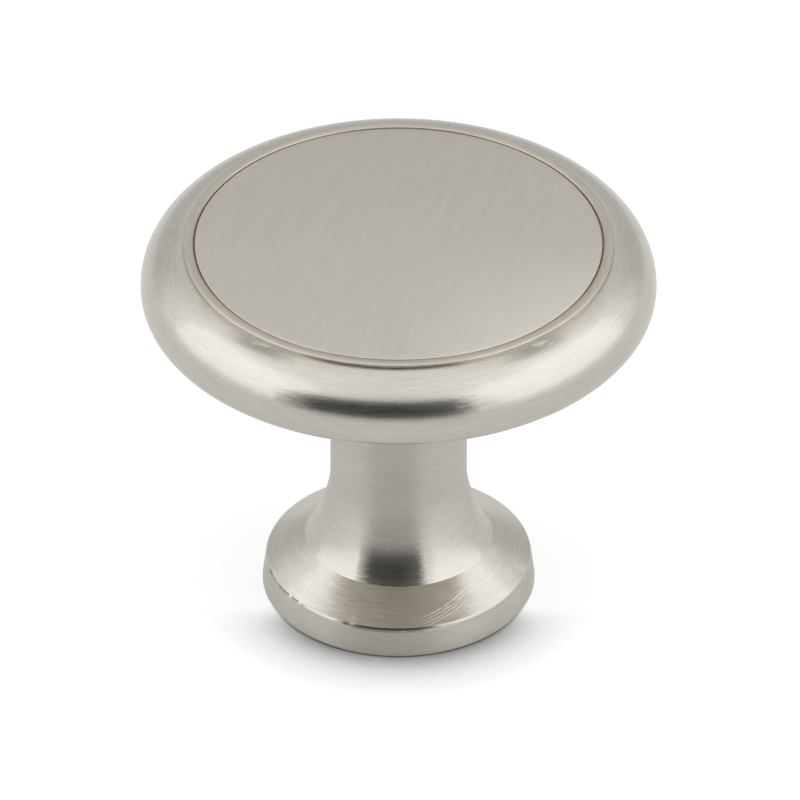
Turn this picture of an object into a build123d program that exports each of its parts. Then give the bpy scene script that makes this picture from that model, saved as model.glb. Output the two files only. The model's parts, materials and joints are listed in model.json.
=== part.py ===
from build123d import *
import os
from math import cos, radians, sin, tan

os.makedirs("parts", exist_ok=True)

# Cabinet knob, one casting turned about Z: base face on Z = 0, flat face up.
# Driving dimensions in millimetres, angles in degrees.

# Head
projection = 25.4          # base face to the crest of the bead
head_diameter = 31.75      # widest part of the rim
rim_roll_width = 2.36      # elliptical roll from the widest part up to the land
rim_roll_height = 2.881
rim_roll_turn = 80.3       # share of the ellipse's quarter turn that the roll takes
rim_under_radius = 1.7     # rounding below the widest part
rim_under_turn = 62.0      # how far it turns before the crisp edge of the flat underside
rim_land = 0.27            # flat ring between the bead and the roll
bead_width = 0.665         # low bead that stands on the land
bead_height = 0.24
bead_outer_lean = 4.0      # draft of its outer and inner walls, measured from upright
bead_inner_lean = 10.0
bead_crown = 0.03          # how much its rounded top swells
bead_rise = 0.05           # crest of the bead above the flat face
groove_depth = 0.2         # fine line between face and bead, below the face
groove_flank = 0.08        # width of the slope from the face into that line

# Neck, from the underside of the head down to the foot
neck_diameter = 8.47
neck_sweep_width = 0.8     # quarter-elliptical sweep from the neck to the underside
neck_sweep_height = 0.8

# Foot: a hollow flare from the neck meets the sloping crown in a wide-open inner corner,
# and a small roll leads from the crown's edge into the leaning side.
# Leans are measured from upright.
flare_width = 1.605        # neck to the inner corner
flare_height = 4.842       # inner corner up to where the flare leaves the neck
flare_neck_pull = 1.0      # how long the flare holds on to the neck's direction
flare_corner_pull = 1.83   # how long it comes into the corner along its lean there
flare_corner_lean = 35.6
crown_width = 2.36         # inner corner to the crown's edge
crown_height = 1.443
edge_roll_width = 0.1      # crown's edge to the top of the side
edge_roll_height = 0.259
side_height = 1.771
side_lean = 7.1
base_edge_chamfer = 0.15

# Blind hole in the base, tapped for a No. 8-32 machine screw
tapping_diameter = 3.45
tapped_depth = 12.7
mouth_diameter = 4.4       # countersunk mouth, just over the screw's own diameter
mouth_angle = 90.0
drill_point_angle = 118.0

# Levels and radii of the head
head_radius = head_diameter / 2
face_z = projection - bead_rise
groove_z = face_z - groove_depth
land_z = projection - bead_height
crown_z = projection - bead_crown
widest_z = land_z - rim_roll_height
roll_start = head_radius - rim_roll_width
roll_across = rim_roll_width / (1 - cos(radians(rim_roll_turn)))
roll_up = rim_roll_height / sin(radians(rim_roll_turn))
bead_outer = roll_start - rim_land
bead_inner = bead_outer - bead_width
crown_outer = bead_outer - (crown_z - land_z) * tan(radians(bead_outer_lean))
crown_inner = bead_inner + (crown_z - groove_z) * tan(radians(bead_inner_lean))
under_centre = head_radius - rim_under_radius
under_end = under_centre + rim_under_radius * cos(radians(rim_under_turn))
underside_z = widest_z - rim_under_radius * sin(radians(rim_under_turn))

# Neck and foot
neck_radius = neck_diameter / 2
sweep_end = neck_radius + neck_sweep_width
sweep_z = underside_z - neck_sweep_height
corner_r = neck_radius + flare_width
edge_z = side_height + edge_roll_height
corner_z = edge_z + crown_height
flare_z = corner_z + flare_height
edge_r = corner_r + crown_width
side_r = edge_r + edge_roll_width
base_radius = side_r + side_height * tan(radians(side_lean))
flare_in = (sin(radians(flare_corner_lean)), cos(radians(flare_corner_lean)))
side_up = (-sin(radians(side_lean)), cos(radians(side_lean)))

with BuildPart() as knob:
    # Half section, radius across and height up
    with BuildSketch(Plane.XZ) as section:
        with BuildLine():
            Polyline((0, 0), (0, face_z), (bead_inner - groove_flank, face_z), (bead_inner, groove_z))
            Line((bead_inner, groove_z), (crown_inner, crown_z))
            SagittaArc((crown_inner, crown_z), (crown_outer, crown_z), bead_crown)
            Polyline((crown_outer, crown_z), (bead_outer, land_z), (roll_start, land_z))
            EllipticalCenterArc(
                (head_radius - roll_across, widest_z), roll_across, roll_up, arc_size=rim_roll_turn
            )
            CenterArc((under_centre, widest_z), rim_under_radius, 0, -rim_under_turn)
            Line((under_end, underside_z), (sweep_end, underside_z))
            EllipticalCenterArc((sweep_end, sweep_z), neck_sweep_width, neck_sweep_height, 90, arc_size=90)
            Line((neck_radius, sweep_z), (neck_radius, flare_z))
            Bezier(
                (neck_radius, flare_z),
                (neck_radius, flare_z - flare_neck_pull),
                (corner_r - flare_corner_pull * flare_in[0], corner_z + flare_corner_pull * flare_in[1]),
                (corner_r, corner_z),
            )
            Line((corner_r, corner_z), (edge_r, edge_z))
            TangentArc((side_r, side_height), (edge_r, edge_z), tangent=side_up)
            Polyline((side_r, side_height), (base_radius, 0), (0, 0))
        make_face()
        chamfer(section.vertices().sort_by_distance((base_radius, 0))[0], base_edge_chamfer)
    revolve(axis=Axis.Z)

    # Screw hole from the base, with the cone that the drill leaves at its end
    with Locations(Plane(knob.faces().sort_by(Axis.Z)[0])):
        CounterSinkHole(tapping_diameter / 2, mouth_diameter / 2, tapped_depth, mouth_angle)
    with Locations((0, 0, tapped_depth)):
        Cone(
            tapping_diameter / 2,
            0,
            tapping_diameter / 2 / tan(radians(drill_point_angle / 2)),
            align=(Align.CENTER, Align.CENTER, Align.MIN),
            mode=Mode.SUBTRACT,
        )

knob.part.label = "knob"
export_step(knob.part, "parts/knob.step")
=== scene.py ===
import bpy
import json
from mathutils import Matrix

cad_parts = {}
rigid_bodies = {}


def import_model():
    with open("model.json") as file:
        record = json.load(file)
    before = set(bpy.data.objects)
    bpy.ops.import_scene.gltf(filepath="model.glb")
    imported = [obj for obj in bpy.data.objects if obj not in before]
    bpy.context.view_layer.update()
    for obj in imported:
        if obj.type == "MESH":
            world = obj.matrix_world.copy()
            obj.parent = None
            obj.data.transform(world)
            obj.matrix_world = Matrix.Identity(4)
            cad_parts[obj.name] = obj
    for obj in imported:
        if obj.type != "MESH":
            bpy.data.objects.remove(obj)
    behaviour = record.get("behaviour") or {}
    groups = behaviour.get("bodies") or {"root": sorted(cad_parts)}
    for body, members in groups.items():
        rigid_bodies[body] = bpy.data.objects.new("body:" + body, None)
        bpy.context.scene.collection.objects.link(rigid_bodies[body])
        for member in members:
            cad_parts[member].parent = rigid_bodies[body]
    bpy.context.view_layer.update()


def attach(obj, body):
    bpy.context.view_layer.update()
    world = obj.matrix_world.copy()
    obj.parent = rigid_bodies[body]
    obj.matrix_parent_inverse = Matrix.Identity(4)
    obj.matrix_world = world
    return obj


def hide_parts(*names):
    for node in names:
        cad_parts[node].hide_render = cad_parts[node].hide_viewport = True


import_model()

import json
from math import atan2, comb, cos, degrees, hypot, pi, radians, sin, tan

import bpy
import numpy as np
from mathutils import Matrix, Vector

millimetre = 0.001       # in metres, the unit of every mesh
perMetre = 1000.0        # millimetres in a metre

# The knob body: one turned surface, its section carried once around the axis.
# Lengths in millimetres and angles in degrees. Down to the drill's point they are the part's own.
knobShape = {
    "projection": 25.4,
    "headDiameter": 31.75,
    "rimRollWidth": 2.36,
    "rimRollHeight": 2.881,
    "rimRollTurn": 80.3,
    "rimUnderRadius": 1.7,
    "rimUnderTurn": 62.0,
    "rimLand": 0.27,
    "beadWidth": 0.665,
    "beadHeight": 0.24,
    "beadOuterLean": 4.0,
    "beadInnerLean": 10.0,
    "beadCrown": 0.03,
    "beadRise": 0.05,
    "grooveDepth": 0.2,
    "grooveFlank": 0.08,
    "neckDiameter": 8.47,
    "neckSweepWidth": 0.8,
    "neckSweepHeight": 0.8,
    "flareWidth": 1.605,
    "flareHeight": 4.842,
    "flareNeckPull": 1.0,
    "flareCornerPull": 1.83,
    "flareCornerLean": 35.6,
    "crownWidth": 2.36,
    "crownHeight": 1.443,
    "edgeRollWidth": 0.1,
    "edgeRollHeight": 0.259,
    "sideHeight": 1.771,
    "sideLean": 7.1,
    "baseEdgeChamfer": 0.15,
    "tappingDiameter": 3.45,
    "tappedDepth": 12.7,
    "mouthDiameter": 4.4,
    "mouthAngle": 90.0,
    "drillPointAngle": 118.0,
    # Thread in the hole, No. 8-32
    "threadPitch": 0.794,
    "threadDiameter": 4.166,
    "threadCrest": 0.22,         # crest and flank, as shares of half a pitch
    "threadFlank": 0.62,
    "threadRunIn": 0.12,         # how far the thread takes to fade in at the mouth
    "threadRunOut": 0.5,         # and to fade out at the end of the hole
    "threadStop": 0.6,           # plain stretch after that, as a share of it
    "threadMargin": 0.06,        # how near the hole's wall a ring has to be to take the thread
    # Small dents on the edge of the foot: azimuth from the front, half width, depth
    "nicks": [(-55.0, 0.42, 0.05), (-49.5, 0.25, 0.04), (-22.0, 0.22, 0.035), (73.0, 0.35, 0.045)],
    "nickReach": 0.22,           # how far they reach along the section
    # Rounding of the edges by plating and brushing
    "edgeSoftness": 0.045,
    "softReach": 4,              # the rounding ends at this many times its softness
    "sectionStep": 0.004,        # between two points of the section while it is rounded
    # Rings and columns of vertices
    "columns": 288,
    "longestStep": 1.0,          # between two rings
    "largestTurn": 7.0,          # of the section from ring to ring
    "boreRingsPerMm": 8.0,
    "boreMargin": 0.1,           # how near the hole's wall those extra rings start
    "faceMargin": 0.03,          # how far below the face its finish still reaches
}


# Straight run: only its corners, because even steps are taken along the whole section later.
def lineRun(*corners):
    return np.array(corners, dtype=float)


# Elliptical run: radius is centre + a cos t, height is centre + b sin t, t from start to end.
def ellipseRun(radius, height, a, b, start, end, count=240):
    t = np.radians(np.linspace(start, end, count))
    return np.stack([radius + a * np.cos(t), height + b * np.sin(t)], axis=1)


# Curved run: control point i of n weighted by the binomial of n and i, t to the i and 1 - t to the rest.
def curveRun(points, count=500):
    t = np.linspace(0.0, 1.0, count)[:, None]
    points = np.array(points, dtype=float)
    n = len(points) - 1
    weights = [comb(n, i) * t ** i * (1.0 - t) ** (n - i) for i in range(n + 1)]
    return sum(w * p for w, p in zip(weights, points))


# Crown run: the circular arc over a chord that swells by its sagitta.
def crownRun(left, right, level, swell, count=120):
    half = (right - left) / 2.0
    radius = (half ** 2 + swell ** 2) / (2.0 * swell)
    across = np.linspace(-half, half, count)
    up = np.sqrt(radius ** 2 - across ** 2) - (radius - swell)
    return np.stack([left + half + across, level + up], axis=1)


# Half section from the middle of the face, over the rim, down to the base and up the hole.
def sectionOf(k):
    headRadius = k["headDiameter"] / 2
    faceZ = k["projection"] - k["beadRise"]
    grooveZ = faceZ - k["grooveDepth"]
    landZ = k["projection"] - k["beadHeight"]
    crownZ = k["projection"] - k["beadCrown"]
    widestZ = landZ - k["rimRollHeight"]
    rollStart = headRadius - k["rimRollWidth"]
    rollTurn = k["rimRollTurn"]
    rollAcross = k["rimRollWidth"] / (1 - cos(radians(rollTurn)))
    rollUp = k["rimRollHeight"] / sin(radians(rollTurn))
    beadOuter = rollStart - k["rimLand"]
    beadInner = beadOuter - k["beadWidth"]
    crownOuter = beadOuter - (crownZ - landZ) * tan(radians(k["beadOuterLean"]))
    crownInner = beadInner + (crownZ - grooveZ) * tan(radians(k["beadInnerLean"]))
    underCentre = headRadius - k["rimUnderRadius"]
    underTurn = k["rimUnderTurn"]
    undersideZ = widestZ - k["rimUnderRadius"] * sin(radians(underTurn))
    neckRadius = k["neckDiameter"] / 2
    sweepEnd = neckRadius + k["neckSweepWidth"]
    sweepZ = undersideZ - k["neckSweepHeight"]
    cornerRadius = neckRadius + k["flareWidth"]
    edgeRadius = cornerRadius + k["crownWidth"]
    sideRadius = edgeRadius + k["edgeRollWidth"]
    sideZ = k["sideHeight"]
    edgeZ = sideZ + k["edgeRollHeight"]
    cornerZ = edgeZ + k["crownHeight"]
    flareZ = cornerZ + k["flareHeight"]
    flareLean = radians(k["flareCornerLean"])
    cornerPull = k["flareCornerPull"]
    wall = radians(k["sideLean"])
    chordLean = atan2(k["edgeRollWidth"], k["edgeRollHeight"])
    edgeRoll = hypot(k["edgeRollWidth"], k["edgeRollHeight"]) / (2 * sin(chordLean - wall))
    baseRadius = sideRadius + sideZ * tan(wall)
    chamfer = k["baseEdgeChamfer"]
    holeRadius = k["tappingDiameter"] / 2
    mouthRadius = k["mouthDiameter"] / 2
    mouthDepth = (mouthRadius - holeRadius) / tan(radians(k["mouthAngle"] / 2))
    tipZ = k["tappedDepth"] + holeRadius / tan(radians(k["drillPointAngle"] / 2))
    runs = [
        lineRun((0, faceZ), (beadInner - k["grooveFlank"], faceZ), (beadInner, grooveZ)),
        crownRun(crownInner, crownOuter, crownZ, k["beadCrown"]),
        lineRun((beadOuter, landZ)),
        ellipseRun(headRadius - rollAcross, widestZ, rollAcross, rollUp, rollTurn, 0),
        ellipseRun(underCentre, widestZ, k["rimUnderRadius"], k["rimUnderRadius"], 0, -underTurn),
        ellipseRun(sweepEnd, sweepZ, k["neckSweepWidth"], k["neckSweepHeight"], 90, 180),
        curveRun([
            (neckRadius, flareZ),
            (neckRadius, flareZ - k["flareNeckPull"]),
            (cornerRadius - cornerPull * sin(flareLean), cornerZ + cornerPull * cos(flareLean)),
            (cornerRadius, cornerZ),
        ]),
        ellipseRun(sideRadius - edgeRoll * cos(wall), sideZ - edgeRoll * sin(wall), edgeRoll, edgeRoll,
                   degrees(2 * chordLean - wall), k["sideLean"]),
        lineRun((baseRadius - chamfer * sin(wall), chamfer * cos(wall)), (baseRadius - chamfer, 0)),
        lineRun((mouthRadius, 0), (holeRadius, mouthDepth), (holeRadius, k["tappedDepth"]), (0, tipZ)),
    ]
    marks = {
        "faceEnd": beadInner - k["grooveFlank"],
        "faceZ": faceZ,
        "edge": (edgeRadius, edgeZ),
        "corner": (cornerRadius, cornerZ),
        "beadFoot": (beadOuter, landZ),
        "boreStart": mouthDepth,
        "boreEnd": k["tappedDepth"],
        "boreRadius": holeRadius,
    }
    return np.concatenate(runs), marks


# Length along the section at each of its points: the steps between them, added up.
def lengthsOf(points):
    return np.concatenate([[0.0], np.cumsum(np.hypot(*np.diff(points, axis=0).T))])


# Points of the section at given lengths along it, straight between the points that it has.
def pointsAt(at, length, points):
    return np.stack([np.interp(at, length, points[:, i]) for i in range(2)], axis=1)


# Even steps along the section, then a bell-shaped average of them, which rounds each corner a little,
# except the crisp ones, where the average gives way to the plain section.
# The section is carried past the axis as its own mirror image, so the middle stays flat.
def softenedSection(points, k, crisp):
    softness = k["edgeSoftness"]
    step = k["sectionStep"]
    gap = np.hypot(*np.diff(points, axis=0).T)
    points = points[np.concatenate([[True], gap > 1e-9])]         # no point twice
    length = lengthsOf(points)
    even = np.linspace(0.0, length[-1], int(length[-1] / step) + 1)
    section = pointsAt(even, length, points)
    reach = int(k["softReach"] * softness / step)
    weights = np.exp(-0.5 * (np.arange(-reach, reach + 1) * step / softness) ** 2)
    weights /= weights.sum()
    mirror = np.array([-1.0, 1.0])
    padded = np.concatenate([section[reach:0:-1] * mirror, section, section[-2:-reach - 2:-1] * mirror])
    soft = np.stack([np.convolve(padded[:, i], weights, mode="valid") for i in range(2)], axis=1)
    away = np.min([np.hypot(*(section - corner).T) for corner in crisp], axis=0)
    share = np.clip(away / (k["softReach"] * softness), 0.0, 1.0)[:, None]
    soft = share * soft + (1.0 - share) * section
    soft[[0, -1], 0] = 0.0                                        # both ends are on the axis
    return soft


# Rings where the section needs them: a share for each step, one for each turn, more along the thread.
def ringsAlong(section, k, marks):
    delta = np.diff(section, axis=0)
    step = np.hypot(delta[:, 0], delta[:, 1])
    heading = np.unwrap(np.arctan2(delta[:, 1], delta[:, 0]))
    turn = np.abs(np.gradient(heading))
    middle = (section[1:] + section[:-1]) / 2
    margin = k["boreMargin"]
    inBore = (middle[:, 0] < marks["boreRadius"] + margin) & (middle[:, 1] < marks["boreEnd"] + margin)
    need = step / k["longestStep"] + turn / radians(k["largestTurn"]) + inBore * step * k["boreRingsPerMm"]
    total = np.concatenate([[0.0], np.cumsum(need)])
    length = lengthsOf(section)
    count = int(np.ceil(total[-1])) + 1
    at = np.interp(np.linspace(0.0, total[-1], count), total, length)
    return pointsAt(at, length, section), at


# In the hole r grows by the thread's depth times a flat-topped wave of z / pitch - a / full turn.
# At each nick r shrinks by a depth that dies away as a bell curve around the edge and along the section.
def workedRadius(r, z, a, k, marks):
    inHole = (r < marks["boreRadius"] + k["threadMargin"]) & (z < marks["boreEnd"])
    threadDepth = k["threadDiameter"] / 2 - marks["boreRadius"]
    wave = np.abs(2 * np.mod(z / k["threadPitch"] - a / (2 * pi), 1.0) - 1.0)
    groove = np.clip((wave - k["threadCrest"]) / k["threadFlank"], 0.0, 1.0)
    fadeIn = np.clip((z - marks["boreStart"]) / k["threadRunIn"], 0.0, 1.0)
    fadeOut = np.clip((marks["boreEnd"] - z) / k["threadRunOut"] - k["threadStop"], 0.0, 1.0)
    r = r + inHole * threadDepth * groove * fadeIn * fadeOut

    edgeRadius, edgeZ = marks["edge"]
    for azimuth, halfWidth, depth in k["nicks"]:
        turned = a - radians(azimuth - 90.0)                      # the front is at -Y
        aside = np.angle(np.exp(1j * turned)) * edgeRadius
        off = np.hypot(r - edgeRadius, z - edgeZ)
        r = r - depth * np.exp(-(aside / halfWidth) ** 2 - (off / k["nickReach"]) ** 2)
    return r


# Turned surface: x is r cos a, y is r sin a, z is the section's height, with a running once around.
# One point closes the middle of the face, and one the tip of the hole.
def turnedSurface(ring, k, marks):
    columns = k["columns"]
    angle = pi / 2 + 2 * pi * np.arange(columns) / columns        # the seam is at the back
    r = np.repeat(ring[1:-1, :1], columns, axis=1)
    z = np.repeat(ring[1:-1, 1:], columns, axis=1)
    a = np.repeat(angle[None, :], len(r), axis=0)
    r = workedRadius(r, z, a, k, marks)
    grid = np.stack([r * np.cos(a), r * np.sin(a), z], axis=-1).reshape(-1, 3)
    vertices = np.concatenate([[[0.0, 0.0, ring[0, 1]]], grid, [[0.0, 0.0, ring[-1, 1]]]]) * millimetre
    index = 1 + np.arange(r.size).reshape(r.shape)
    after = np.roll(index, -1, axis=1)
    quads = np.stack([index[:-1], index[1:], after[1:], after[:-1]], axis=-1).reshape(-1, 4)
    top = np.stack([np.zeros(columns, dtype=int), index[0], after[0]], axis=-1)
    tip = np.stack([index[-1], np.full(columns, len(vertices) - 1), after[-1]], axis=-1)
    return vertices, quads.tolist() + top.tolist() + tip.tolist()


# One UV map: a pair of values for each corner of each face.
def addMap(mesh, name, u, v):
    layer = mesh.uv_layers.new(name=name)
    layer.data.foreach_set("uv", np.stack([u, v], axis=1).astype(np.float32).ravel())


# turnUV: u is the length along the section in millimetres, v the share of the way around.
# faceUV: u is across the straight brushing of the face, v along it, both in millimetres.
def layMaps(mesh, vertices, along, columns, brushTurn):
    corner = np.zeros(len(mesh.loops), dtype=np.int32)
    mesh.loops.foreach_get("vertex_index", corner)
    u = np.concatenate([[along[0]], np.repeat(along[1:-1], columns), [along[-1]]])[corner]
    around = np.tile(np.arange(columns) / columns, len(along) - 2)
    share = np.concatenate([[0.5], around, [0.5]])[corner]
    starts = np.zeros(len(mesh.polygons), dtype=np.int32)
    sizes = np.zeros(len(mesh.polygons), dtype=np.int32)
    mesh.polygons.foreach_get("loop_start", starts)
    mesh.polygons.foreach_get("loop_total", sizes)
    highest = np.repeat(np.maximum.reduceat(share, starts), sizes)
    share = np.where((highest > 0.9) & (share < 0.1), share + 1.0, share)    # runs on past 1 at the seam
    addMap(mesh, "turnUV", u, share)

    place = vertices[corner] * perMetre
    slant = radians(brushTurn)
    across = place[:, 0] * cos(slant) + place[:, 1] * sin(slant)
    beside = place[:, 1] * cos(slant) - place[:, 0] * sin(slant)
    addMap(mesh, "faceUV", across, beside)


# The face takes the second material: what lies inside the groove and at the face's height.
def chooseFinish(mesh, k, marks):
    centre = np.zeros(len(mesh.polygons) * 3)
    mesh.polygons.foreach_get("center", centre)
    centre = centre.reshape(-1, 3) * perMetre
    inside = np.hypot(centre[:, 0], centre[:, 1]) < marks["faceEnd"]
    onFace = inside & (centre[:, 2] > marks["faceZ"] - k["faceMargin"])
    mesh.polygons.foreach_set("material_index", onFace.astype(np.int32))
    mesh.polygons.foreach_set("use_smooth", np.ones(len(mesh.polygons), dtype=bool))


# The knob: its section rounded, divided into rings and turned, then mapped and given its finishes.
def makeKnob(k, brushTurn):
    points, marks = sectionOf(k)
    crisp = [marks["corner"], marks["edge"], marks["beadFoot"]]
    ring, along = ringsAlong(softenedSection(points, k, crisp), k, marks)
    vertices, faces = turnedSurface(ring, k, marks)
    mesh = bpy.data.meshes.new("knobBody")
    mesh.from_pydata(vertices.tolist(), [], faces)
    mesh.update()
    layMaps(mesh, vertices, along, k["columns"], brushTurn)
    chooseFinish(mesh, k, marks)
    print("knob body:", len(ring) - 2, "rings,", len(mesh.loops) - 2 * len(mesh.polygons), "triangles")
    body = bpy.data.objects.new("knobBody", mesh)
    bpy.context.scene.collection.objects.link(body)
    return body


# A small bench for node trees: one call makes a node, sets its plain values and links the rest.
class NodeBench:
    def __init__(self, tree):
        self.tree = tree
        tree.nodes.clear()

    def add(self, kind, inputs=None, **settings):
        node = self.tree.nodes.new(kind)
        for name, value in settings.items():
            setattr(node, name, value)
        for key, value in (inputs or {}).items():
            socket = node.inputs[key]
            if isinstance(value, bpy.types.NodeSocket):
                self.tree.links.new(value, socket)
            else:
                socket.default_value = value
        return node

    def math(self, operation, a, b=0.0, c=0.0, clamp=False):
        node = self.add("ShaderNodeMath", {0: a, 1: b, 2: c}, operation=operation, use_clamp=clamp)
        return node.outputs[0]

    def product(self, first, *others):
        for other in others:
            first = self.math("MULTIPLY", first, other)
        return first

    # Change of range, straight or smooth, held inside its ends
    def span(self, value, low, high, toLow=0.0, toHigh=1.0, smooth=False):
        kind = "SMOOTHSTEP" if smooth else "LINEAR"
        inputs = {"Value": value, "From Min": low, "From Max": high, "To Min": toLow, "To Max": toHigh}
        return self.add("ShaderNodeMapRange", inputs, interpolation_type=kind, clamp=True).outputs[0]

    def objectPoint(self):
        return self.add("ShaderNodeTexCoord").outputs["Object"]

    def mapPoint(self, name):
        return self.add("ShaderNodeUVMap", uv_map=name).outputs[0]

    def split(self, vector):
        return self.add("ShaderNodeSeparateXYZ", {0: vector}).outputs

    def vector(self, x, y, z):
        return self.add("ShaderNodeCombineXYZ", {0: x, 1: y, 2: z}).outputs[0]

    def scaled(self, vector, share):
        inputs = {0: vector, "Scale": share}
        return self.add("ShaderNodeVectorMath", inputs, operation="SCALE").outputs[0]

    def noise(self, vector, scale=1.0, detail=2.0, roughness=0.5):
        inputs = {"Vector": vector, "Scale": scale, "Detail": detail, "Roughness": roughness}
        return self.add("ShaderNodeTexNoise", inputs).outputs["Fac"]

    # A mix node keeps its two colours in sockets 6 and 7, and gives their mix from output 2
    def mixColour(self, share, a, b, blend="MIX"):
        inputs = {"Factor": share, 6: a, 7: b}
        return self.add("ShaderNodeMix", inputs, data_type="RGBA", blend_type=blend).outputs[2]


# Straight-brushed face of the head. Hairlines and streaks: length and width in millimetres.
faceLook = {
    "colour": (0.556, 0.520, 0.468, 1.0),
    "roughness": 0.58,
    "anisotropy": 0.5,
    "brushTurn": -24.0,          # degrees from X to the direction across the brushing
    "bump": 0.10,
    "hairSize": (2.2, 0.11),
    "streakSize": (4.0, 0.6),
    "hairs": 0.035,              # how far hairlines and broad streaks change the tone
    "streaks": 0.02,
    "paintedSheen": (0.0010, -0.0058),  # painted sheen: change of tone per millimetre towards +X and +Y
    "paintedSheenCorner": 0.0024,            # painted sheen, further per square millimetre towards the front right
}

# Round-brushed rim, neck and foot
turnedLook = {
    "colour": (0.575, 0.540, 0.482, 1.0),
    "roughness": 0.19,
    "coarseRoughness": 0.385,    # the neck and the side of the foot are brushed more coarsely
    "neckMiddle": 13.2,          # height of the middle of that neck
    "neckHalf": (6.0, 8.4),      # how far from there the coarse brushing starts to fade and ends
    "sideTop": (1.70, 1.80),     # where it fades at the top of the foot's side
    "wornRoughness": 0.22,       # added where the wear roughens the metal
    "anisotropy": 0.8,
    "bump": 0.12,
    "hairSize": (1.0, 0.05),
    "streakSize": (2.5, 0.4),
    "swaySize": (0.8, 0.08),
    "hairs": 0.07,
    "streaks": 0.03,
    "sway": 0.022,               # how far single hairlines turn the normal around the axis
    "wander": 0.06,              # how far hairlines leave the round direction, in millimetres
    "wanderScale": 0.55,
}

# What all the brushing shares
brushing = {
    "hairRange": (0.25, 0.75),   # of the noise, from one extreme of a hairline to the other
    "streakRange": (0.3, 0.7),
    "grain": 0.6,                # share of its finer octaves in the noise
    "roughnessSwing": 0.03,      # how far roughness changes from hairline to hairline
    "bumpHeight": 0.00002,       # in metres
    "streakShift": 31.0,         # sets streaks and sway apart from the hairlines
    "swayShift": 57.0,
}

# Marks of wear on the rim and foot, and a painted dark reflection on the rim. Azimuths from the front, to
# the right, in degrees.
# Soft: how gradually a mark ends, in degrees around and in millimetres across.
# Breaks: scale of the noise around and outwards, and where it goes from bare to marked.
wearAndPaintedShade = {
    "scratchTurns": (12.0, 45.0),     # bundle of scratches across the crown of the foot
    "scratchRadius": (7.55, 8.35),    # where it starts, from its innermost to its outermost scratch
    "scratchDrift": 0.037,            # how far it draws in per degree
    "scratchPitch": 0.18,
    "scratchLine": (0.28, 0.46),      # from a scratch's edge to its middle, as shares of the pitch
    "scratchSoft": (4.0, 0.06),
    "scratchBreaks": (0.06, 5.0, 0.36, 0.52),
    "scratchTop": (3.6, 3.8),         # height at which they end below the neck
    "scratchTone": 0.40,
    "footRadius": (7.8, 7.9),         # the lines along the edge of the foot start outside this
    "edgeTurns": (-79.0, -46.0),      # dark broken line along that edge
    "edgeHeight": (1.90, 2.02),
    "edgeSoft": (3.0, 0.035),
    "edgeBreaks": (0.30, 0.0, 0.36, 0.50),
    "edgeTone": -0.55,
    "frontTurns": (-20.5, 10.5),      # darker line along the same edge, at the front
    "frontHeight": (1.74, 1.93),
    "frontSoft": (2.5, 0.03),
    "frontBreaks": (0.20, 0.0, 0.15, 0.42),
    "frontTone": -0.48,
    "darkReflectionTurns": (30.0, 45.0),      # painted dark reflection on the roll beside the bead, to the left and right
    "darkReflectionRadius": (13.35, 14.15),
    "darkReflectionStart": (24.0, 24.2),      # height at which it starts
    "darkReflectionSoft": (6.0, 0.25),
    "darkReflectionBreaks": (0.14, 1.6, 0.24, 0.46),
    "darkReflectionTone": -0.42,
    "beadRadius": (12.60, 13.20),     # the bead's colour is darker and warmer, most of all towards the face
    "beadTint": (1.0, 0.3),           # share of the tinted colour at those radii
    "beadEnds": (12.50, 13.28),       # where the tint stops on either side
    "beadSoft": 0.02,
    "beadStart": (24.9, 25.0),        # height at which it starts
    "beadColour": (0.88, 0.83, 0.76, 1.0),
    "noiseLayer": 7.3,                # sets this noise apart from the brushing
}


def newMaterial(name):
    material = bpy.data.materials.new(name)
    material.use_nodes = True
    return material, NodeBench(material.node_tree)


# Tone of hairlines and streaks around 1 and of what else is laid on, wear and painted light among it,
# times the plain colour
def tonedColour(bench, look, fine, broad, extra):
    tone = bench.span(fine, *brushing["hairRange"], 1.0 - look["hairs"], 1.0 + look["hairs"])
    streak = bench.span(broad, *brushing["streakRange"], -look["streaks"], look["streaks"])
    tone = bench.math("ADD", tone, streak)
    tone = bench.math("ADD", tone, extra)
    return bench.scaled(look["colour"][:3], tone)
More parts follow.
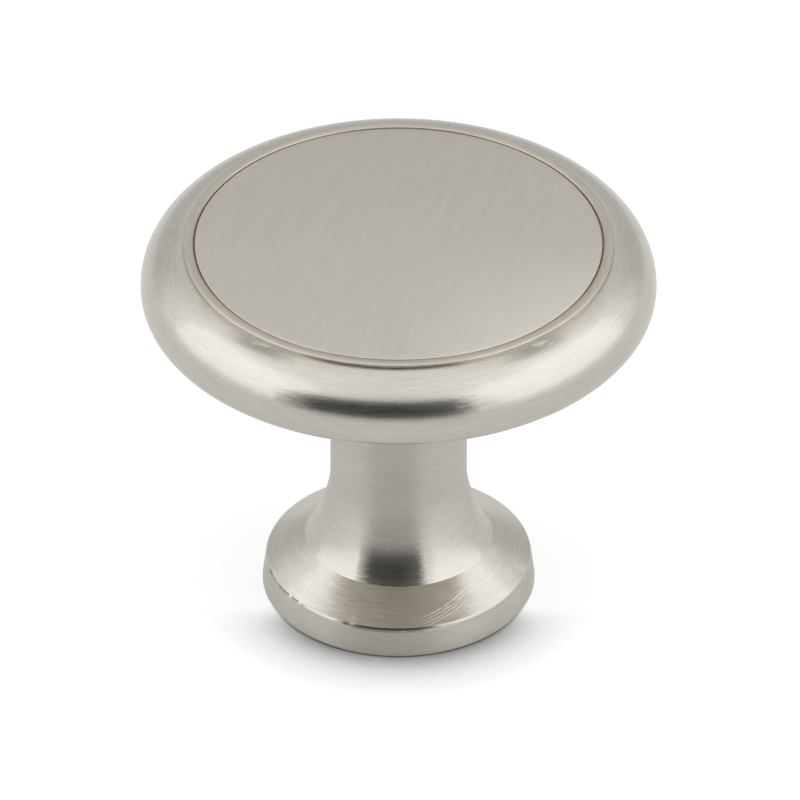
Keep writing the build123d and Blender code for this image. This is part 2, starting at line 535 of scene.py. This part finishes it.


# Wear and painted shade: each mark is a window in azimuth times one in radius or height, broken up by
# noise.
# It gives the change of tone, the painted dark reflection included, the share of the surface that the wear
# marks roughen, and that of the tinted bead.
def wearAndPaintedShadeMarks(bench, point, w):
    x, y, z = bench.split(point)
    radius = bench.math("SQRT", bench.math("MULTIPLY_ADD", x, x, bench.math("MULTIPLY", y, y)))
    azimuth = bench.math("DEGREES", bench.math("ARCTAN2", x, bench.math("MULTIPLY", y, -1.0)))

    def window(value, ends, soft):
        rise = bench.span(value, ends[0] - soft, ends[0] + soft, smooth=True)
        fall = bench.span(value, ends[1] - soft, ends[1] + soft, 1.0, 0.0, smooth=True)
        return bench.math("MULTIPLY", rise, fall)

    def broken(scaleRound, scaleOut, bare, marked):
        around = bench.math("MULTIPLY", azimuth, scaleRound)
        outwards = bench.math("MULTIPLY", radius, scaleOut)
        vector = bench.vector(around, outwards, w["noiseLayer"])
        return bench.span(bench.noise(vector), bare, marked, smooth=True)

    turned = bench.math("SUBTRACT", azimuth, w["scratchTurns"][0])
    path = bench.math("MULTIPLY_ADD", turned, w["scratchDrift"], radius)
    lines = bench.math("PINGPONG", bench.math("DIVIDE", path, w["scratchPitch"]), 0.5)
    scratch = bench.product(
        bench.span(lines, *w["scratchLine"]),
        window(azimuth, w["scratchTurns"], w["scratchSoft"][0]),
        window(path, w["scratchRadius"], w["scratchSoft"][1]),
        broken(*w["scratchBreaks"]),
        bench.span(z, *w["scratchTop"], 1.0, 0.0))

    onFoot = bench.span(radius, *w["footRadius"])
    edge = bench.product(
        window(azimuth, w["edgeTurns"], w["edgeSoft"][0]),
        window(z, w["edgeHeight"], w["edgeSoft"][1]),
        onFoot,
        broken(*w["edgeBreaks"]))
    front = bench.product(
        window(azimuth, w["frontTurns"], w["frontSoft"][0]),
        window(z, w["frontHeight"], w["frontSoft"][1]),
        onFoot,
        broken(*w["frontBreaks"]))

    # painted dark reflection: dark patches on the roll beside the bead, to the left and right
    beside = bench.math("ABSOLUTE", azimuth)
    darkReflection = bench.product(
        window(beside, w["darkReflectionTurns"], w["darkReflectionSoft"][0]),
        window(radius, w["darkReflectionRadius"], w["darkReflectionSoft"][1]),
        bench.span(z, *w["darkReflectionStart"]),
        broken(*w["darkReflectionBreaks"]))

    bead = bench.product(
        bench.span(radius, *w["beadRadius"], *w["beadTint"]),
        window(radius, w["beadEnds"], w["beadSoft"]),
        bench.span(z, *w["beadStart"]))

    tone = bench.math("MULTIPLY", scratch, w["scratchTone"])
    tone = bench.math("MULTIPLY_ADD", edge, w["edgeTone"], tone)
    tone = bench.math("MULTIPLY_ADD", front, w["frontTone"], tone)
    tone = bench.math("MULTIPLY_ADD", darkReflection, w["darkReflectionTone"], tone)
    return tone, bench.math("ADD", scratch, edge, clamp=True), bead


# The metal itself, drawn out along the brushing that the map gives
def finishMetal(bench, look, colour, rough, bumpInputs, brushMap):
    inputs = {"Strength": look["bump"], "Distance": brushing["bumpHeight"], **bumpInputs}
    bump = bench.add("ShaderNodeBump", inputs)
    tangent = bench.add("ShaderNodeTangent", direction_type="UV_MAP", uv_map=brushMap)
    shader = bench.add("ShaderNodeBsdfPrincipled", {
        "Base Color": colour,
        "Metallic": 1.0,
        "Roughness": rough,
        "Anisotropic": look["anisotropy"],
        "Tangent": tangent.outputs[0],
        "Normal": bump.outputs[0],
    })
    bench.add("ShaderNodeOutputMaterial", {"Surface": shader.outputs[0]})


# Brushed nickel turned about the axis: noise drawn out around it gives tone, roughness and bump,
# and a second noise turns the normal a little to either side, hairline by hairline.
def turnedNickel(look):
    material, bench = newMaterial("turnedNickel")
    toMillimetres = {0: bench.objectPoint(), 1: (perMetre, perMetre, perMetre)}
    point = bench.add("ShaderNodeVectorMath", toMillimetres, operation="MULTIPLY").outputs[0]
    x, y, z = bench.split(point)
    wander = bench.noise(point, look["wanderScale"], 1.0)
    drift = bench.span(wander, *brushing["hairRange"], -look["wander"], look["wander"])
    along = bench.math("ADD", bench.split(bench.mapPoint("turnUV"))[0], drift)

    def brushed(length, width, detail=2.0, shift=0.0):
        vector = bench.vector(
            bench.math("DIVIDE", x, length), bench.math("DIVIDE", y, length),
            bench.math("MULTIPLY_ADD", along, 1.0 / width, shift))
        return bench.noise(vector, detail=detail, roughness=brushing["grain"])

    fine = brushed(*look["hairSize"])
    broad = brushed(*look["streakSize"], shift=brushing["streakShift"])
    # wear marks, and the painted dark reflection beside the bead
    marks, roughened, bead = wearAndPaintedShadeMarks(bench, point, wearAndPaintedShade)
    colour = tonedColour(bench, look, fine, broad, marks)
    colour = bench.mixColour(bead, colour, bench.mixColour(1.0, colour, wearAndPaintedShade["beadColour"], "MULTIPLY"))

    swing = brushing["roughnessSwing"]
    rough = bench.math("ADD", bench.span(fine, *brushing["hairRange"], -swing, swing), look["roughness"])
    fromMiddle = bench.math("ABSOLUTE", bench.math("SUBTRACT", z, look["neckMiddle"]))
    onNeck = bench.span(fromMiddle, *look["neckHalf"], 1.0, 0.0, smooth=True)
    onSide = bench.span(z, *look["sideTop"], 1.0, 0.0)
    coarse = bench.math("MAXIMUM", onNeck, onSide)
    coarse = bench.math("MULTIPLY", coarse, look["coarseRoughness"] - look["roughness"])
    rough = bench.math("ADD", rough, coarse)
    rough = bench.math("MULTIPLY_ADD", roughened, look["wornRoughness"], rough)

    around = bench.add("ShaderNodeTangent", direction_type="RADIAL", axis="Z").outputs[0]
    sway = brushed(*look["swaySize"], detail=1.0, shift=brushing["swayShift"])
    sway = bench.span(sway, *brushing["hairRange"], -look["sway"], look["sway"])
    aside = bench.scaled(around, sway)
    normal = bench.add("ShaderNodeNewGeometry").outputs["Normal"]
    normal = bench.add("ShaderNodeVectorMath", {0: normal, 1: aside}, operation="ADD").outputs[0]
    normal = bench.add("ShaderNodeVectorMath", {0: normal}, operation="NORMALIZE").outputs[0]
    finishMetal(bench, look, colour, rough, {"Height": fine, "Normal": normal}, "turnUV")
    return material


# The face: straight hairlines, and a painted sheen, a tone that pales slowly from the back left to the
# front right.
def brushedFace(look):
    material, bench = newMaterial("brushedFace")
    flat = bench.split(bench.mapPoint("faceUV"))
    place = bench.split(bench.objectPoint())

    def brushed(length, width, shift=0.0):
        across = bench.math("DIVIDE", flat[0], width)
        beside = bench.math("DIVIDE", flat[1], length)
        return bench.noise(bench.vector(across, beside, shift), roughness=brushing["grain"])

    fine = brushed(*look["hairSize"])
    broad = brushed(*look["streakSize"], shift=brushing["streakShift"])
    # painted sheen: the face is made lighter towards the front right, as the light falls on it
    right = bench.math("MULTIPLY", place[0], perMetre * look["paintedSheen"][0])
    paintedSheen = bench.math("MULTIPLY_ADD", place[1], perMetre * look["paintedSheen"][1], right)
    toRight = bench.math("MAXIMUM", bench.math("MULTIPLY", place[0], perMetre), 0.0)
    toFront = bench.math("MAXIMUM", bench.math("MULTIPLY", place[1], -perMetre), 0.0)
    paintedSheen = bench.math("ADD", paintedSheen, bench.product(toRight, toFront, look["paintedSheenCorner"]))
    colour = tonedColour(bench, look, fine, broad, paintedSheen)
    swing = brushing["roughnessSwing"]
    rough = bench.span(fine, *brushing["hairRange"], look["roughness"] - swing, look["roughness"] + swing)
    finishMetal(bench, look, colour, rough, {"Height": fine}, "faceUV")
    return material


knob = makeKnob(knobShape, faceLook["brushTurn"])
knob.data.materials.append(turnedNickel(turnedLook))
knob.data.materials.append(brushedFace(faceLook))
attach(knob, "root")
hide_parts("knob")
print("materials on the knob:", [m.name for m in knob.data.materials])

# Studio: pale floor, dark card behind the camera, a panel on either side and a soft room.
# Distances in metres, angles in degrees from the front, radiance where 1 is white.
studio = {
    "floorHalf": 4.0,
    "floorLevel": -2e-5,         # a hair below the base
    "floorColour": (0.38, 0.377, 0.37, 1.0),
    "floorGlow": 0.69,           # lifts the floor to white for the camera
    "floorShine": 0.66,          # share of that glow in the reflections on the knob
    "shadeFrom": (-0.0030, -0.0080),  # along Y: no shade behind the first, all of it before the second
    "shadeSamples": 3,
    "contactReach": 0.0045,      # of the contact shadow that the camera sees
    "contactDepth": 8.0,
    "contactDark": (0.85, 0.42),      # how fast the floor itself darkens there, and how far at most
    "underReach": 0.009,         # of the wider shade that the knob reflects
    "underDepth": 3.0,
    "underLeast": 0.40,          # that shade goes no darker than this share
    "cardDistance": 1.0,
    "cardLeft": (-1.27, -0.64),  # pale outer edge, and where the dark begins
    "cardRight": (0.64, 0.44),
    "cardLift": (0.05, 0.45, 0.10),   # slow fade before the right edge: from, to and by how much
    "cardFoot": 0.0005,
    "cardTop": 0.91,
    "cardColour": (0.055, 0.95),
    "roomColour": (0.985, 1.0, 1.025, 1.0),
    "roomBack": (0.68, 1.10),    # level at the horizon and overhead
    "roomBackRise": (0.35, 0.97),     # between which heights of the direction the level rises
    "roomFront": (0.92, 1.10),
    "roomFrontRise": (0.0, 0.97),
    "roomTurn": (0.42, 0.82),    # how far back the front's level gives way to the back's
    "panelColour": (0.94, 1.0, 1.08),
    "sideGlow": (0.45, 0.97),    # soft glow of the room around each panel, from its rim to its middle
    "panels": [
        {"name": "leftPanel", "azimuth": -80.0, "elevation": 30.0, "distance": 1.5,
         "wide": 1.7, "high": 1.5, "radiance": 0.33, "glow": 0.19},
        {"name": "rightPanel", "azimuth": 78.0, "elevation": 30.0, "distance": 1.5,
         "wide": 2.0, "high": 1.5, "radiance": 0.29, "glow": 0.26},
    ],
}


# A flat sheet of the stage, one face through its corners
def stageMesh(name, corners):
    mesh = bpy.data.meshes.new(name)
    mesh.from_pydata(corners, [], [list(range(len(corners)))])
    thing = bpy.data.objects.new(name, mesh)
    bpy.context.scene.collection.objects.link(thing)
    return thing


# The floor: plain diffuse, lifted to white for the camera and, less, in the metal.
# Before the foot that lift fades where less of the room is open to the floor, and the floor's own
# colour darkens for the camera, which deepens the contact shadow.
def floorMaterial(s):
    material, bench = newMaterial("paleFloor")
    path = bench.add("ShaderNodeLightPath").outputs
    none, full = s["shadeFrom"]
    front = bench.span(bench.split(bench.objectPoint())[1], full, none, 1.0, 0.0, smooth=True)

    def openShare(reach):
        node = bench.add("ShaderNodeAmbientOcclusion", {"Distance": reach}, samples=s["shadeSamples"])
        return node.outputs["AO"]

    close = openShare(s["contactReach"])
    fast, most = s["contactDark"]
    shaded = bench.math("MULTIPLY", bench.math("SUBTRACT", 1.0, close), fast)
    shaded = bench.math("MINIMUM", shaded, most)
    shaded = bench.math("MULTIPLY", shaded, bench.math("MULTIPLY", front, path["Is Camera Ray"]))
    colour = bench.scaled(s["floorColour"][:3], bench.math("SUBTRACT", 1.0, shaded))

    close = bench.math("POWER", close, bench.math("MULTIPLY", front, s["contactDepth"]))
    under = openShare(s["underReach"])
    under = bench.math("POWER", under, bench.math("MULTIPLY", front, s["underDepth"]))
    under = bench.math("MAXIMUM", under, s["underLeast"])
    under = bench.math("MULTIPLY", under, s["floorShine"])
    shine = bench.math("ADD", path["Is Glossy Ray"], path["Is Transmission Ray"], clamp=True)
    seen = bench.math("MULTIPLY", path["Is Camera Ray"], close)
    seen = bench.math("MULTIPLY_ADD", shine, under, seen)
    glow = bench.math("MULTIPLY", seen, s["floorGlow"])
    diffuse = bench.add("ShaderNodeBsdfDiffuse", {"Color": colour})
    light = bench.add("ShaderNodeEmission", {"Color": (1.0, 1.0, 1.0, 1.0), "Strength": glow})
    both = bench.add("ShaderNodeAddShader", {0: diffuse.outputs[0], 1: light.outputs[0]})
    bench.add("ShaderNodeOutputMaterial", {"Surface": both.outputs[0]})
    return material


# The card: dark in the middle, fading to pale towards its left and right edges.
def cardMaterial(s):
    material, bench = newMaterial("darkCard")
    x = bench.split(bench.objectPoint())[0]
    leftPale, leftDark = s["cardLeft"]
    rightPale, rightDark = s["cardRight"]
    toLeft = bench.span(x, leftPale, leftDark, 1.0, 0.0, smooth=True)
    toRight = bench.span(x, rightDark, rightPale, 0.0, 1.0, smooth=True)
    level = bench.span(bench.math("ADD", toLeft, toRight), 0.0, 1.0, *s["cardColour"])
    liftStart, liftEnd, lift = s["cardLift"]
    level = bench.math("ADD", level, bench.span(x, liftStart, liftEnd, 0.0, lift), clamp=True)
    grey = bench.add("ShaderNodeCombineColor", {0: level, 1: level, 2: level}).outputs[0]
    shader = bench.add("ShaderNodeBsdfDiffuse", {"Color": grey})
    bench.add("ShaderNodeOutputMaterial", {"Surface": shader.outputs[0]})
    return material


# Way from the knob to a panel, from its azimuth and elevation
def directionOf(panel):
    azimuth = radians(panel["azimuth"])
    elevation = radians(panel["elevation"])
    return Vector((sin(azimuth) * cos(elevation), -cos(azimuth) * cos(elevation), sin(elevation)))


# The room: brighter overhead than at the horizon, darker behind the knob than in front,
# with a soft glow around each panel.
def makeRoom(s):
    world = bpy.data.worlds.new("softRoom")
    world.use_nodes = True
    bpy.context.scene.world = world
    bench = NodeBench(world.node_tree)
    way = bench.add("ShaderNodeTexCoord").outputs["Generated"]
    ray = bench.split(way)
    behind = bench.span(ray[2], *s["roomBackRise"], *s["roomBack"], smooth=True)
    before = bench.span(ray[2], *s["roomFrontRise"], *s["roomFront"])
    share = bench.span(ray[1], *s["roomTurn"], 1.0, 0.0, smooth=True)
    levels = {"Factor": share, 2: behind, 3: before}
    level = bench.add("ShaderNodeMix", levels, data_type="FLOAT").outputs[0]
    for panel in s["panels"]:
        near = bench.add("ShaderNodeVectorMath", {0: way, 1: directionOf(panel)}, operation="DOT_PRODUCT")
        glow = bench.span(near.outputs["Value"], *s["sideGlow"], 0.0, panel["glow"], smooth=True)
        level = bench.math("ADD", level, glow)
    room = bench.add("ShaderNodeBackground", {"Color": s["roomColour"], "Strength": level})
    bench.add("ShaderNodeOutputWorld", {"Surface": room.outputs[0]})


# A panel: its power is the radiance times pi times its area.
def makePanel(panel, colour):
    lamp = bpy.data.lights.new(panel["name"], "AREA")
    lamp.shape = "RECTANGLE"
    lamp.size = panel["wide"]
    lamp.size_y = panel["high"]
    lamp.energy = panel["radiance"] * pi * panel["wide"] * panel["high"]
    lamp.color = colour
    thing = bpy.data.objects.new(panel["name"], lamp)
    thing.location = directionOf(panel) * panel["distance"]
    thing.rotation_euler = directionOf(panel).to_track_quat("Z", "Y").to_euler()
    thing.visible_camera = False
    bpy.context.scene.collection.objects.link(thing)


def makeStudio(s):
    half = s["floorHalf"]
    level = s["floorLevel"]
    floor = stageMesh("floor", [
        (-half, -half, level), (half, -half, level), (half, half, level), (-half, half, level)])
    floor.data.materials.append(floorMaterial(s))

    back = -s["cardDistance"]
    left = s["cardLeft"][0]
    right = s["cardRight"][0]
    card = stageMesh("darkCard", [
        (left, back, s["cardFoot"]), (right, back, s["cardFoot"]),
        (right, back, s["cardTop"]), (left, back, s["cardTop"])])
    card.data.materials.append(cardMaterial(s))
    card.visible_camera = False

    for panel in s["panels"]:
        makePanel(panel, s["panelColour"])
    makeRoom(s)


makeStudio(studio)
print("studio set")

# Camera at the photo's angle. Distances in millimetres.
view = {
    "elevation": 35.16,
    "distance": 810.6,
    "aim": 12.7,                 # height on the axis
    "lens": 589.2,
    "sensor": 36.0,
    "nearest": 10.0,
    "sideways": 0.087,           # how far the camera slides off the axis
    "upwards": 0.675,
}


# The camera stands back from the aim along the elevation, slid a little aside and up.
def makeCamera(v):
    e = radians(v["elevation"])
    back = Vector((0.0, -cos(e), sin(e)))
    up = Vector((0.0, sin(e), cos(e)))
    slide = Vector((v["sideways"], 0.0, 0.0)) + up * v["upwards"]
    camera = bpy.data.objects.new("camera", bpy.data.cameras.new("camera"))
    camera.data.lens = v["lens"]
    camera.data.sensor_width = v["sensor"]
    camera.data.clip_start = v["nearest"] * millimetre
    place = Vector((0.0, 0.0, v["aim"])) + back * v["distance"] + slide
    turn = Matrix((Vector((1.0, 0.0, 0.0)), up, back)).transposed()
    camera.matrix_world = Matrix.Translation(place * millimetre) @ turn.to_4x4()
    bpy.context.scene.collection.objects.link(camera)
    bpy.context.scene.camera = camera


makeCamera(view)
bpy.context.scene.view_settings.view_transform = "Standard"
print("camera set")
